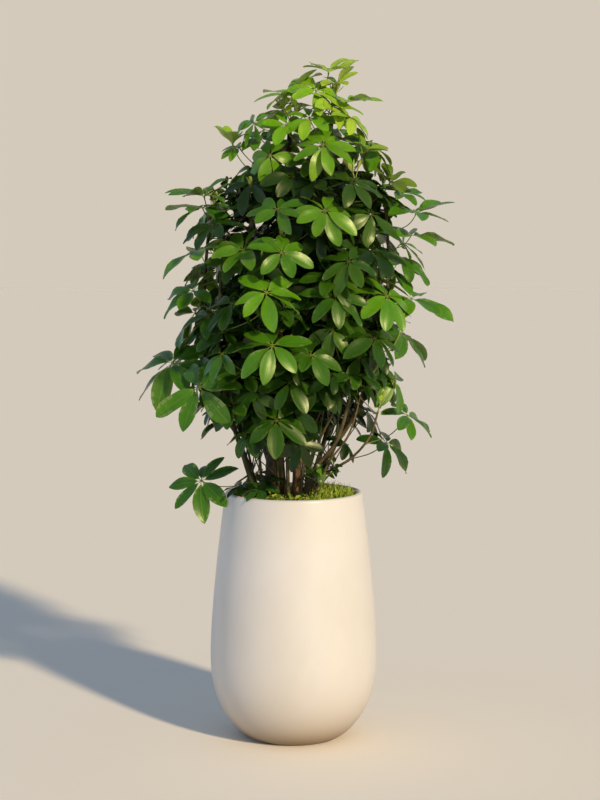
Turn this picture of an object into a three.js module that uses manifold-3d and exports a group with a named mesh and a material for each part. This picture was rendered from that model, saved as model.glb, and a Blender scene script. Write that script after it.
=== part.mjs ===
// Potted umbrella plant: a clump of leafy stems in a tall, egg-shaped planter.
// Millimetres, +Z up. The origin is the centre of the planter's flat foot and the front faces -Y.

import * as THREE from 'three';
import { mergeVertices } from 'three/addons/utils/BufferGeometryUtils.js';
import Module from 'manifold-3d';

const wasm = await Module();
wasm.setup();

// Planter
const POT_HEIGHT = 624;
const POT_RIM_RADIUS = 172;
const POT_BELLY_RADIUS = 212;
const POT_BELLY_HEIGHT = 213;
const POT_FOOT_RADIUS = 112;
const POT_WALL = 14;
const POT_FLOOR = 16;
const POT_SIDES = 24;
const POT_OUTLINE_HEIGHTS = [0, 14, 38, 72, 116, 170, 250, 360, 480];
const LIP_STEPS = 4;
const DRAIN_HOLES = 3;
const DRAIN_RADIUS = 7;
const DRAIN_CIRCLE = 60;
const DRAIN_SIDES = 6;

// Filling
const GAP = 0.35;
const SOIL_TOP = POT_HEIGHT - 22;
const INNER_HEIGHTS = [SOIL_TOP, 450, 300, 180, 80, POT_FLOOR];
const COVER_RADIUS = POT_RIM_RADIUS - POT_WALL - 4;
const COVER_THICK = 7;
const COVER_TUFT = 8;
const COVER_RINGS = 3;

// How far a cutting solid runs past the face that it cuts
const CUT = 5;

// Stems stand upright from ROOT_BOTTOM to COLLAR and bend only above it
const ROOT_BOTTOM = SOIL_TOP - 70;
const COLLAR = POT_HEIGHT + 6;
const STEM_STEP = 125;
const BRANCH_SIDES = 5;

// Leaflets
const LEAFLET_WIDTH = 0.41;
const BEND = 24;
const SAG = 0.035;
const FOLD = 0.26;
const WIDEST_AT = 0.62;
const RIB_AT = 0.5;
const NOTCH_RADIUS = 12;
const RIB_THICK = 2;
const HUB_RISE = 1.5;
const HUB_DROP = 2;
const HUB_RADIUS = 2.4;
const STALK_RADIUS = 1.8;

// A stalk's middle lies this share of the way up, drawn towards a point behind the hub
const STALK_MIDDLE = 0.55;
const STALK_BEHIND = 0.42;
const STALK_DRAW = 0.45;

// Shares of a shoot's length between which stalks leave it, and how far below the hub they do so
const ROOTS_FROM = 0.03;
const ROOTS_TO = 0.985;
const ROOTS_STEP = 0.02;
const ROOT_DROP = 15;
const ROOT_DROP_WEIGHT = 1.4;

// Least space between a leaf and any other solid, and how far a leaf may move to find it
const CLEARANCE = 0.5;
const SLACK = { aside: 34, depth: 76, height: 34, azimuth: 24, elevation: 18 };
const FRONT_TRIES = 110;
const FRONT_FREEDOM = 0.7;
const FILL_TRIES = 24;

// The eye that the front leaves are listed for
const EYE_DISTANCE = 4600;
const EYE_HEIGHT = 1264;

const SEED = 33;
const GOLDEN_ANGLE = Math.PI * (3 - Math.sqrt(5));

// Height above the ground, how far out the leaf hubs reach there, and how far right they centre
const CANOPY = [
  [700, 150, 0], [780, 190, -4], [860, 238, -18], [940, 276, -20], [1040, 280, -4],
  [1150, 262, 10], [1260, 268, -2], [1350, 236, 24], [1420, 180, 46], [1490, 136, 58],
  [1560, 98, 54], [1620, 72, 54], [1660, 40, 58],
];

// Each stem: foot on the soil, radius at the foot and at the tip, and the points that it passes
const STEMS = [
  { foot: [-52, 18], thick: 20, thin: 4.5, sides: 6,
    way: [[-50, 22, 770], [-42, 30, 960], [-30, 34, 1180], [-18, 22, 1390], [-8, 6, 1550]] },
  { foot: [9, -22], thick: 12.5, thin: 3.5, sides: 6,
    way: [[16, -26, 770], [34, -28, 1000], [60, -22, 1240], [86, -12, 1450], [98, -4, 1590]] },
  { foot: [-98, -44], thick: 6.5, thin: 3, sides: 5,
    way: [[-124, -62, 720], [-162, -96, 850], [-182, -120, 1000], [-176, -124, 1180]] },
  { foot: [34, -54], thick: 5, thin: 2.8, sides: 5,
    way: [[62, -74, 700], [104, -98, 758], [136, -118, 864], [164, -138, 1020], [168, -132, 1210]] },
  { foot: [-28, -44], thick: 6, thin: 3, sides: 5,
    way: [[-32, -96, 756], [-38, -146, 920], [-42, -168, 1080], [-32, -160, 1240]] },
  { foot: [50, -6], thick: 6, thin: 3, sides: 5,
    way: [
      [86, -12, 714], [142, -18, 800], [196, -20, 910],
      [230, -18, 1080], [234, -14, 1260], [222, -8, 1370],
    ] },
  { foot: [-94, 30], thick: 7, thin: 3, sides: 5,
    way: [[-136, 32, 740], [-190, 24, 900], [-222, 12, 1080], [-214, 0, 1250], [-204, -4, 1330]] },
  { foot: [-48, 88], thick: 6.5, thin: 3, sides: 5,
    way: [[-86, 132, 760], [-122, 170, 940], [-140, 182, 1120], [-112, 154, 1290], [-62, 108, 1420]] },
  { foot: [42, 66], thick: 6.5, thin: 3, sides: 5,
    way: [[82, 116, 750], [132, 166, 940], [150, 178, 1120], [140, 156, 1300], [112, 104, 1440]] },
  { foot: [4, 108], thick: 6, thin: 3, sides: 5,
    way: [[4, 158, 780], [2, 212, 960], [0, 234, 1130], [2, 206, 1310]] },
  { foot: [48, -30], thick: 3.8, thin: 2.4, sides: 5,
    way: [[80, -48, 674], [142, -78, 716], [188, -94, 772], [208, -98, 835]] },
];

// Each branch: the stem that it leaves, where along it, radii, and the points that it passes
const BRANCHES = [
  { stem: 0, from: 0.42, thick: 7, thin: 3, way: [[-84, -30, 1120], [-104, -62, 1240], [-104, -70, 1360]] },
  { stem: 1, from: 0.4, thick: 6, thin: 3, way: [[90, -78, 1150], [132, -104, 1280], [150, -100, 1400]] },
];

// Front leaves as [x, height, azimuth, elevation, leaflet length, leaflets, lift]: x and height as
// seen on the plane through the planter's axis, azimuth of the face (0 front, 90 right, 180 back,
// 270 left), elevation of the face, and how far the leaflets lift from a flat star, in degrees.
const FRONT_LEAVES = [
  [280, 1118, 50, 70, 112, 8, 8],
  [-214, 878, 338, 50, 118, 8, 0],
  [-302, 948, 336, 50, 130, 8, -4],
  [-169, 982, 320, 50, 84, 7, 2],
  [244, 896, 62, 36, 86, 7, -18],
  [87, 1668, 350, 76, 76, 8, 28],
  [109, 1637, 300, 74, 76, 6, 24],
  [-5, 1610, 286, 62, 104, 7, 26],
  [129, 1580, 60, 82, 102, 7, 14],
  [74, 1490, 0, 44, 84, 9, 2],
  [-151, 1490, 350, 80, 72, 7, 58],
  [-134, 1478, 310, 60, 58, 5, 4],
  [-84, 1510, 320, 58, 66, 6, 6],
  [-58, 1464, 350, 30, 76, 7, -14],
  [-16, 1536, 5, 50, 70, 7, 2],
  [171, 1463, 25, 62, 78, 5, 46],
  [194, 1484, 66, 64, 86, 7, 0],
  [-109, 1400, 330, 40, 76, 7, 2],
  [-222, 1362, 325, 72, 104, 8, 22],
  [-228, 1334, 312, 76, 98, 7, 10],
  [-124, 1230, 340, 56, 92, 8, 20],
  [-29, 1217, 5, 42, 82, 7, 4],
  [78, 1328, 5, 38, 88, 9, 4],
  [196, 1318, 35, 44, 88, 7, -14],
  [305, 1320, 30, 74, 104, 8, 26],
  [270, 1372, 44, 62, 70, 6, 10],
  [240, 1396, 40, 66, 74, 6, 38],
  [294, 1266, 70, 72, 104, 7, 4],
  [-234, 1230, 300, 70, 116, 7, 4],
  [-250, 1128, 318, 58, 92, 7, 6],
  [268, 1212, 72, 66, 88, 6, -4],
  [106, 1115, 10, 44, 86, 8, 4],
  [-52, 992, 355, 44, 98, 8, 2],
  [44, 968, 15, 46, 80, 7, 4],
  [147, 924, 40, 56, 76, 7, 6],
  [-44, 804, 0, 34, 88, 8, -8],
  [-233, 650, 330, 34, 106, 8, 0],
  [234, 746, 45, 44, 84, 7, -4],
  [292, 832, 56, 56, 84, 6, 0],
  [270, 1018, 66, 50, 104, 7, -14],
  [132, 744, 66, 44, 56, 5, -16],
  [18, 742, 0, 10, 66, 5, -14],
  [-116, 772, 330, 44, 64, 5, -10],
  [-40, 1330, 345, 46, 76, 7, 0],
  [40, 1556, 350, 52, 72, 7, 2],
  [-134, 1114, 315, 60, 92, 7, 0],
  [-214, 1066, 300, 64, 84, 6, 4],
];

// Filling leaves in layers: share of the canopy's reach, number of places, closest hubs allowed as
// a share of a leaflet, leaflets, bends in the stalk, face elevation at the bottom and at the top
const FILL_BOTTOM = 890;
const OPEN_FRONT_BELOW = 900;
const FILL_TOP = 1570;
const LOWEST_LEAFLET = 100;
const TOP_LEAFLET = 74;
const VARY = { height: 14, reach: 18, azimuth: 30, elevation: 17, length: 9, lift: 14 };
const LAYERS = [
  { share: 1, places: 178, apart: 1.0, leaflets: 6, bends: 1, low: 46, high: 68 },
  { share: 0.64, places: 90, apart: 0.93, leaflets: 5, bends: 0, low: 48, high: 76 },
  { share: 0.28, places: 28, apart: 1.05, leaflets: 5, bends: 0, low: 55, high: 82 },
];

const COLOUR = {
  pot: 0xf0e3cf, soil: 0x3a2a1c, cover: 0x7d9630, leaf: 0x3f7d24,
};

const group = new THREE.Group();

function addMesh(name, geometry, colour, roughness) {
  const material = new THREE.MeshStandardMaterial({ color: colour, roughness, metalness: 0 });
  const mesh = new THREE.Mesh(geometry, material);
  mesh.name = name;
  group.add(mesh);
}

// Seeded random numbers from 0 to 1
let randomState = SEED;
function random() {
  randomState = (randomState + 0x6d2b79f5) | 0;
  let t = Math.imul(randomState ^ (randomState >>> 15), 1 | randomState);
  t = (t + Math.imul(t ^ (t >>> 7), 61 | t)) ^ t;
  return ((t ^ (t >>> 14)) >>> 0) / 4294967296;
}

function jitter(size) {
  return (random() * 2 - 1) * size;
}

function radians(degrees) {
  return degrees * Math.PI / 180;
}

// A closed three.js geometry as a solid that can be joined and cut
function solidFrom(geometry) {
  const bare = geometry.clone();
  bare.deleteAttribute('normal');
  bare.deleteAttribute('uv');
  const merged = mergeVertices(bare, 1e-4);
  const index = merged.index.array;
  const kept = [];
  for (let i = 0; i < index.length; i += 3) {
    const [a, b, c] = [index[i], index[i + 1], index[i + 2]];
    if (a !== b && b !== c && c !== a) kept.push(a, b, c);
  }
  return solidOf(merged.attributes.position.array, kept);
}

function solidOf(numbers, triangles) {
  return new wasm.Manifold(new wasm.Mesh({
    numProp: 3,
    vertProperties: new Float32Array(numbers),
    triVerts: new Uint32Array(triangles),
  }));
}

function geometryFrom(solid) {
  const mesh = solid.getMesh();
  const geometry = new THREE.BufferGeometry();
  geometry.setAttribute('position', new THREE.BufferAttribute(mesh.vertProperties.slice(), 3));
  geometry.setIndex(new THREE.BufferAttribute(mesh.triVerts.slice(), 1));
  geometry.computeVertexNormals();
  return geometry;
}

// Planter

function potRadius(z) {
  if (z >= POT_BELLY_HEIGHT) {
    const rise = (z - POT_BELLY_HEIGHT) / (POT_HEIGHT - POT_BELLY_HEIGHT);
    return POT_BELLY_RADIUS - (POT_BELLY_RADIUS - POT_RIM_RADIUS) * rise ** 1.5;
  }
  const drop = (POT_BELLY_HEIGHT - z) / POT_BELLY_HEIGHT;
  return POT_FOOT_RADIUS + (POT_BELLY_RADIUS - POT_FOOT_RADIUS) * (1 - drop ** 2.4) ** 0.75;
}

// Inner wall from the soil's top down to the floor: for the filling it is moved in, and up by the gap
function innerWall(inset, lift) {
  return INNER_HEIGHTS.map((z, i) => {
    const height = i === INNER_HEIGHTS.length - 1 ? z + lift : z;
    return new THREE.Vector2(potRadius(z) - POT_WALL - inset, height);
  });
}

function lathe(points) {
  const turned = new THREE.LatheGeometry(points, POT_SIDES);
  turned.rotateX(Math.PI / 2);
  return turned;
}

function prism(x, y, radius, sides, bottom, top) {
  const bar = new THREE.CylinderGeometry(radius, radius, top - bottom, sides);
  bar.rotateX(Math.PI / 2);
  bar.translate(x, y, (bottom + top) / 2);
  return bar;
}

function planterPot() {
  const outline = [new THREE.Vector2(0, 0)];
  for (const z of POT_OUTLINE_HEIGHTS) {
    outline.push(new THREE.Vector2(potRadius(z), z));
  }
  const lip = POT_WALL / 2;
  for (let i = 0; i <= LIP_STEPS; i += 1) {
    const turn = Math.PI * i / LIP_STEPS;
    const r = POT_RIM_RADIUS - lip + lip * Math.cos(turn);
    outline.push(new THREE.Vector2(r, POT_HEIGHT - lip + lip * Math.sin(turn)));
  }
  outline.push(...innerWall(0, 0), new THREE.Vector2(0, POT_FLOOR));
  let solid = solidFrom(lathe(outline));
  for (let i = 0; i < DRAIN_HOLES; i += 1) {
    const turn = 2 * Math.PI * (i + 0.25) / DRAIN_HOLES;
    const x = DRAIN_CIRCLE * Math.cos(turn);
    const y = DRAIN_CIRCLE * Math.sin(turn);
    const drill = prism(x, y, DRAIN_RADIUS, DRAIN_SIDES, -CUT, POT_FLOOR + CUT);
    solid = solid.subtract(solidFrom(drill));
  }
  return solid;
}

// The planter's filling, with a plain hole for each stem

function stemHoles(bottom, top) {
  return STEMS.map((stem) => {
    const radius = stem.thick + GAP / Math.cos(Math.PI / stem.sides);
    return solidOf(...ringTube([
      { at: new THREE.Vector3(...stem.foot, bottom), along: UP, radius },
      { at: new THREE.Vector3(...stem.foot, top), along: UP, radius },
    ], stem.sides));
  });
}

function pottingSoil() {
  const wall = innerWall(2 * GAP, GAP);
  const outline = [new THREE.Vector2(0, POT_FLOOR + GAP), ...wall.reverse()];
  outline.push(new THREE.Vector2(0, SOIL_TOP));
  let solid = solidFrom(lathe(outline));
  for (const hole of stemHoles(ROOT_BOTTOM - GAP, SOIL_TOP + CUT)) solid = solid.subtract(hole);
  return solid;
}

// How far the low green cover stands above its flat underside
function coverHeight(x, y) {
  const wave = Math.sin(x / 17 + 1) * Math.cos(y / 15 - 0.5) + 0.6 * Math.sin((x + y) / 9);
  return COVER_THICK + COVER_TUFT * Math.max(0, wave) + 2 * Math.cos(x / 31 + y / 27);
}

function groundCover() {
  const bottom = SOIL_TOP + GAP;
  const numbers = [];
  const triangles = [];
  const place = (ring, side) => 2 + ring * POT_SIDES + ((side + POT_SIDES) % POT_SIDES);
  numbers.push(0, 0, bottom, 0, 0, bottom + coverHeight(0, 0));
  for (let ring = 0; ring <= COVER_RINGS; ring += 1) {
    const low = ring === COVER_RINGS;
    const reach = COVER_RADIUS * Math.min(1, (ring + 1) / COVER_RINGS);
    for (let side = 0; side < POT_SIDES; side += 1) {
      const turn = 2 * Math.PI * side / POT_SIDES;
      const x = reach * Math.cos(turn);
      const y = reach * Math.sin(turn);
      const edge = ring === COVER_RINGS - 1 ? 0.5 : 1;
      numbers.push(x, y, low ? bottom : bottom + edge * coverHeight(x, y));
    }
  }
  for (let side = 0; side < POT_SIDES; side += 1) {
    triangles.push(1, place(0, side), place(0, side + 1));
    for (let ring = 0; ring < COVER_RINGS; ring += 1) {
      const [a, b] = [place(ring, side), place(ring, side + 1)];
      const [c, d] = [place(ring + 1, side), place(ring + 1, side + 1)];
      triangles.push(a, c, d, a, d, b);
    }
    triangles.push(0, place(COVER_RINGS, side + 1), place(COVER_RINGS, side));
  }
  let solid = solidOf(numbers, triangles);
  for (const hole of stemHoles(bottom - CUT, COLLAR)) solid = solid.subtract(hole);
  return solid;
}

// Stems and branches

const UP = new THREE.Vector3(0, 0, 1);

// A closed tube through rings of one number of sides, each ring square to its own direction
function ringTube(rings, sides) {
  const numbers = [];
  const triangles = [];
  let side = new THREE.Vector3(1, 0, 0);
  for (const { at, along, radius } of rings) {
    side = side.clone().addScaledVector(along, -side.dot(along)).normalize();
    const other = new THREE.Vector3().crossVectors(along, side);
    for (let i = 0; i < sides; i += 1) {
      const turn = 2 * Math.PI * i / sides;
      const point = at.clone().addScaledVector(side, radius * Math.cos(turn));
      point.addScaledVector(other, radius * Math.sin(turn));
      numbers.push(point.x, point.y, point.z);
    }
  }
  for (let ring = 1; ring < rings.length; ring += 1) {
    for (let i = 0; i < sides; i += 1) {
      const next = (i + 1) % sides;
      const [a, b] = [(ring - 1) * sides + i, (ring - 1) * sides + next];
      const [c, d] = [ring * sides + i, ring * sides + next];
      triangles.push(a, b, d, a, d, c);
    }
  }
  const last = (rings.length - 1) * sides;
  for (let i = 2; i < sides; i += 1) {
    triangles.push(0, i, i - 1, last, last + i - 1, last + i);
  }
  return [numbers, triangles];
}

// A tapered shoot along a smooth curve, with the centres that a leaf stalk finds its place between
function shoot(node, points, thick, thin, sides, rooted) {
  const curve = new THREE.CatmullRomCurve3(points, false, 'centripetal');
  const steps = Math.max(3, Math.round(curve.getLength() / STEM_STEP));
  const radiusAt = (u) => thin + (thick - thin) * (1 - u) ** 0.8;
  const rings = [];
  if (rooted) {
    const root = points[0].clone().setZ(ROOT_BOTTOM);
    rings.push({ at: root, along: UP, radius: thick });
  }
  for (let i = 0; i <= steps; i += 1) {
    const u = i / steps;
    const along = rooted && i === 0 ? UP : curve.getTangentAt(u);
    rings.push({ at: curve.getPointAt(u), along, radius: radiusAt(u) });
  }
  const centres = rings.slice(rooted ? 1 : 0).map((ring) => ring.at);
  return { node, centres, solid: solidOf(...ringTube(rings, sides)) };
}

// A point on the straight stretches between a shoot's rings
function pointOn(carrier, u) {
  const place = u * (carrier.centres.length - 1);
  const first = Math.min(Math.floor(place), carrier.centres.length - 2);
  return carrier.centres[first].clone().lerp(carrier.centres[first + 1], place - first);
}

function growShoots() {
  const shoots = STEMS.map((stem, node) => {
    const points = [new THREE.Vector3(...stem.foot, COLLAR)];
    for (const place of stem.way) points.push(new THREE.Vector3(...place));
    return shoot(node, points, stem.thick, stem.thin, stem.sides, true);
  });
  for (const branch of BRANCHES) {
    const points = [pointOn(shoots[branch.stem], branch.from)];
    for (const place of branch.way) points.push(new THREE.Vector3(...place));
    shoots.push(shoot(branch.stem, points, branch.thick, branch.thin, BRANCH_SIDES, false));
  }
  return shoots;
}

// Leaves: leaflets round a hub, on a stalk

function faceDirection(azimuth, elevation) {
  const [turn, rise] = [radians(azimuth), radians(elevation)];
  return new THREE.Vector3(
    Math.sin(turn) * Math.cos(rise), -Math.cos(turn) * Math.cos(rise), Math.sin(rise),
  );
}

// Point of a leaflet: s along its rib, offset to one side, and height above the rib
function leafletPoint(leaf, turn, s, aside, above) {
  const out = leaf.across.clone().multiplyScalar(Math.cos(turn));
  out.addScaledVector(leaf.beside, Math.sin(turn));
  const sideways = new THREE.Vector3().crossVectors(leaf.face, out);
  const slope = radians(leaf.lift - leaf.bend * s / 2);
  const point = leaf.hub.clone();
  point.addScaledVector(out, leaf.length * s * Math.cos(slope));
  point.addScaledVector(leaf.face, leaf.length * s * Math.sin(slope) + above);
  point.addScaledVector(sideways, aside);
  point.z -= leaf.sag * leaf.length * s * s;
  return point;
}

// One compound leaf with its stalk as a closed solid: every leaflet is folded along its rib
function leafSolid(leaf, stalk) {
  const count = leaf.leaflets;
  const step = 2 * Math.PI / count;
  const numbers = [];
  const triangles = [];
  const add = (point) => numbers.push(point.x, point.y, point.z) / 3 - 1;
  const reach = leaf.length * WIDEST_AT * Math.cos(radians(leaf.lift));
  const room = 1.84 * reach * Math.tan(step / 2);
  const half = Math.min(leaf.length * LEAFLET_WIDTH, room) / 2;
  const hubTop = add(leaf.hub.clone().addScaledVector(leaf.face, HUB_RISE));
  const notches = [];
  for (let i = 0; i < count; i += 1) {
    const turn = leaf.spin + (i - 0.5) * step;
    notches.push(add(leafletPoint(leaf, turn, NOTCH_RADIUS / leaf.length, 0, 0)));
  }
  const ringStart = numbers.length / 3;
  const corner = (i) => ringStart + Math.floor(3 * (i % count) / count);
  const ringTurn = leaf.spin + ((Math.ceil(count / 3) - 1) / 2 - 0.5) * step;
  addStalkRings(leaf, stalk, ringTurn, add);
  for (let i = 0; i < count; i += 1) {
    const turn = leaf.spin + i * step;
    const after = (i + 1) % count;
    const rib = add(leafletPoint(leaf, turn, RIB_AT, 0, 0));
    const under = add(leafletPoint(leaf, turn, RIB_AT, 0, -RIB_THICK));
    const right = add(leafletPoint(leaf, turn, WIDEST_AT, -half, half * leaf.fold));
    const tip = add(leafletPoint(leaf, turn, 1, 0, 0));
    const left = add(leafletPoint(leaf, turn, WIDEST_AT, half, half * leaf.fold));
    const edge = [notches[i], right, tip, left, notches[after]];
    triangles.push(rib, hubTop, edge[0], rib, edge[4], hubTop);
    triangles.push(under, edge[0], corner(i), under, corner(i + 1), edge[4]);
    for (let j = 0; j < 4; j += 1) {
      triangles.push(rib, edge[j], edge[j + 1], under, edge[j + 1], edge[j]);
    }
    if (corner(i) !== corner(i + 1)) triangles.push(under, corner(i), corner(i + 1));
  }
  for (let level = 1; level <= stalk.length; level += 1) {
    for (let j = 0; j < 3; j += 1) {
      const next = (j + 1) % 3;
      const [a, b] = [ringStart + 3 * level - 3 + j, ringStart + 3 * level - 3 + next];
      triangles.push(a, a + 3, b + 3, a, b + 3, b);
    }
  }
  const end = ringStart + 3 * stalk.length;
  triangles.push(end, end + 2, end + 1);
  return solidOf(numbers, triangles);
}

// Three corners under the hub, then three at each point that the stalk passes on its way down
function addStalkRings(leaf, stalk, ringTurn, add) {
  let side = leaf.across.clone().multiplyScalar(Math.cos(ringTurn));
  side.addScaledVector(leaf.beside, Math.sin(ringTurn));
  const start = leaf.hub.clone().addScaledVector(leaf.face, -HUB_DROP);
  const points = [start, ...stalk];
  points.forEach((point, level) => {
    let along = leaf.face;
    if (level > 0) {
      const below = points[Math.min(level + 1, points.length - 1)];
      along = points[level - 1].clone().sub(below).normalize();
    }
    side = side.clone().addScaledVector(along, -side.dot(along)).normalize();
    const other = new THREE.Vector3().crossVectors(along, side);
    const radius = level === 0 ? HUB_RADIUS : STALK_RADIUS;
    for (let j = 0; j < 3; j += 1) {
      const turn = 2 * Math.PI * j / 3;
      const at = point.clone().addScaledVector(side, radius * Math.cos(turn));
      add(at.addScaledVector(other, radius * Math.sin(turn)));
    }
  });
}

function makeLeaf(hub, azimuth, elevation, spin, length, leaflets, lift) {
  const face = faceDirection(azimuth, elevation);
  const across = new THREE.Vector3().crossVectors(UP, face).normalize();
  const beside = new THREE.Vector3().crossVectors(face, across);
  return {
    hub, face, across, beside, spin, length, leaflets, lift, bend: BEND, sag: SAG,
    fold: FOLD,
  };
}

// Where a stalk leaves the nearest shoots, lower than the hub by a share of the reach
function stalkRoots(shoots, hub, share) {
  const roots = shoots.map((carrier) => {
    let best = null;
    for (let u = ROOTS_FROM; u < ROOTS_TO; u += ROOTS_STEP) {
      const point = pointOn(carrier, u);
      const reach = Math.hypot(hub.x - point.x, hub.y - point.y);
      const miss = Math.abs(hub.z - point.z - share * reach - ROOT_DROP);
      const score = reach + ROOT_DROP_WEIGHT * miss;
      if (best === null || score < best.score) best = { carrier, point, u, score };
    }
    return best;
  });
  return roots.sort((a, b) => a.score - b.score).slice(0, 2);
}

function stalkPoints(leaf, root, bends) {
  if (bends === 0) return [root];
  const run = leaf.hub.distanceTo(root);
  const middle = root.clone().lerp(leaf.hub, STALK_MIDDLE);
  const behind = leaf.hub.clone().addScaledVector(leaf.face, -STALK_BEHIND * run);
  middle.lerp(behind, STALK_DRAW);
  return [middle, root];
}

function boxesTouch(a, b) {
  return [0, 1, 2].every((k) => a.min[k] - 1 <= b.max[k] && b.min[k] - 1 <= a.max[k]);
}

// A leaf is kept where it clears every other solid, those of its own stem past the stalk's root
const placed = [];

function fits(leaf, root, bends) {
  const stalk = stalkPoints(leaf, root.point, bends);
  const upper = stalk.slice(0, -1);
  const outside = root.point.clone().lerp(upper[0] || leaf.hub, 0.25);
  const guard = leafSolid(leaf, [...upper, outside]);
  const solid = leafSolid(leaf, stalk);
  const box = solid.boundingBox();
  const node = root.carrier.node;
  for (const other of placed) {
    if (!boxesTouch(box, other.box)) continue;
    const tested = other.node === node ? guard : solid;
    const theirs = other.node === node && other.guard ? other.guard : other.solid;
    if (tested.minGap(theirs, 2 * CLEARANCE) < CLEARANCE) return null;
  }
  return { solid, guard, box, node, hub: leaf.hub };
}

// Tries small changes of place, face and spin, growing from try to try
function placeLeaf(shoots, want, tries, freedom) {
  for (let i = 0; i < tries; i += 1) {
    const loose = freedom * i / tries;
    const hub = want.hub.clone();
    hub.x += jitter(SLACK.aside * loose);
    hub.y += jitter(SLACK.depth * loose);
    hub.z += jitter(SLACK.height * loose);
    const azimuth = want.azimuth + jitter(SLACK.azimuth * loose);
    const elevation = want.elevation + jitter(SLACK.elevation * loose);
    const spin = jitter(Math.PI);
    const leaf = makeLeaf(hub, azimuth, elevation, spin, want.length, want.leaflets, want.lift);
    const roots = stalkRoots(shoots, hub, 0.75 - 0.5 * random());
    const root = roots[i % 3 === 2 ? 1 : 0];
    const result = fits(leaf, root, want.bends);
    if (result) {
      placed.push(result);
      return true;
    }
  }
  return false;
}

// The canopy's reach and its middle's place to the right at a height
function canopyAt(z) {
  const above = CANOPY.findIndex((row) => z <= row[0]);
  if (above < 1) return CANOPY[above === 0 ? 0 : CANOPY.length - 1].slice(1);
  const [low, high] = [CANOPY[above - 1], CANOPY[above]];
  const share = (z - low[0]) / (high[0] - low[0]);
  return [1, 2].map((k) => low[k] + (high[k] - low[k]) * share);
}

// Front leaves lie on the canopy's surface, brought forward along the line to the eye
function frontWishes() {
  return FRONT_LEAVES.map(([x, z, azimuth, elevation, length, leaflets, lift]) => {
    const aside = Math.abs(Math.sin(radians(azimuth)));
    const [reach, middle] = canopyAt(z);
    const square = Math.max(reach ** 2 - (x - middle) ** 2, (0.15 * reach) ** 2);
    const depth = Math.sqrt(square) * (1 - 0.45 * aside);
    const nearer = 1 - depth / EYE_DISTANCE;
    const hub = new THREE.Vector3(x * nearer, -depth, EYE_HEIGHT + (z - EYE_HEIGHT) * nearer);
    return { hub, azimuth, elevation, length, leaflets, lift, bends: 1 };
  });
}

// Even places over the canopy's surface at a share of its reach, by the golden angle
function layerWishes(layer) {
  const wishes = [];
  for (let i = 0; i < layer.places; i += 1) {
    const rise = ((i + 0.5) / layer.places) ** 0.92;
    const z = FILL_BOTTOM + (FILL_TOP - FILL_BOTTOM) * rise + jitter(VARY.height);
    const turn = i * GOLDEN_ANGLE + layer.share * 9;
    const [farthest, middle] = canopyAt(z);
    const reach = farthest * layer.share + jitter(VARY.reach);
    const x = middle + reach * Math.sin(turn);
    const y = -reach * Math.cos(turn);
    const azimuth = turn * 180 / Math.PI + jitter(VARY.azimuth);
    const tilt = layer.low + (layer.high - layer.low) * rise ** 1.5;
    const elevation = tilt + jitter(VARY.elevation);
    const length = LOWEST_LEAFLET + (TOP_LEAFLET - LOWEST_LEAFLET) * rise + jitter(VARY.length);
    wishes.push({
      hub: new THREE.Vector3(x, y, z), azimuth, elevation, length,
      leaflets: layer.leaflets, lift: jitter(VARY.lift) - 3, bends: layer.bends,
    });
  }
  return wishes;
}

function growLeaves(shoots) {
  for (const want of frontWishes()) placeLeaf(shoots, want, FRONT_TRIES, FRONT_FREEDOM);
  for (const layer of LAYERS) {
    for (const want of layerWishes(layer)) {
      const { hub } = want;
      const apart = layer.apart * want.length;
      const crowded = placed.some((one) => one.hub && one.hub.distanceTo(hub) < apart);
      const stemsShow = hub.z < OPEN_FRONT_BELOW && hub.y < -Math.abs(hub.x);
      if (!crowded && !stemsShow) placeLeaf(shoots, want, FILL_TRIES, 1);
    }
  }
}

const pot = planterPot();
const soil = pottingSoil();
const cover = groundCover();
const shoots = growShoots();
for (const { solid, node } of [{ solid: pot }, { solid: cover }, ...shoots]) {
  placed.push({ solid, node, box: solid.boundingBox() });
}
growLeaves(shoots);

addMesh('planter_pot', geometryFrom(pot), COLOUR.pot, 0.35);
addMesh('potting_soil', geometryFrom(soil), COLOUR.soil, 0.95);
addMesh('ground_cover', geometryFrom(cover), COLOUR.cover, 0.8);
STEMS.forEach((stem, node) => {
  const pieces = shoots.filter((one) => one.node === node).map((one) => one.solid);
  for (const leaf of placed) if (leaf.hub && leaf.node === node) pieces.push(leaf.solid);
  const name = `leafy_stem_${String(node + 1).padStart(2, '0')}`;
  addMesh(name, geometryFrom(wasm.Manifold.union(pieces)), COLOUR.leaf, 0.4);
});

export default group;
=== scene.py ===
# Potted umbrella plant: leaflets, stalks, bark, moss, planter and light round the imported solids.
# Metres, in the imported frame: +Z up, the front faces -Y, and the planter's foot stands on the ground.

import math
import random
from types import SimpleNamespace

import bmesh
import bpy
import numpy as np
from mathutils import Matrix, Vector, noise


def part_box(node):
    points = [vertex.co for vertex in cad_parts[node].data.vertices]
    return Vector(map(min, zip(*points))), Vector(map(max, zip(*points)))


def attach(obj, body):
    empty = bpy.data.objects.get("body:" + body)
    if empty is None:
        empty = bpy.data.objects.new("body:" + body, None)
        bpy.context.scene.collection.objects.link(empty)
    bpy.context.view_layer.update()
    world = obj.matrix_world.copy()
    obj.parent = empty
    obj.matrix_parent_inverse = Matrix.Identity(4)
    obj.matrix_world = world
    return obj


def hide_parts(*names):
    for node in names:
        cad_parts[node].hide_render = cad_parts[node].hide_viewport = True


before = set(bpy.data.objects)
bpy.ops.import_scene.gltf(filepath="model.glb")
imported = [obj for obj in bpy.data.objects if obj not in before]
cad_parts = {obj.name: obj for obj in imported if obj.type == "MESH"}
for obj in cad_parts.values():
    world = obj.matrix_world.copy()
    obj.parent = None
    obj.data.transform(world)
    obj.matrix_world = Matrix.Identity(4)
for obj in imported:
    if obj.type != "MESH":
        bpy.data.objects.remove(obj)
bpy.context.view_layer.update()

MM = 0.001
BODY = "root"
UP = Vector((0, 0, 1))
SHARP_ANGLE = 62
SEED = 11
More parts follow.
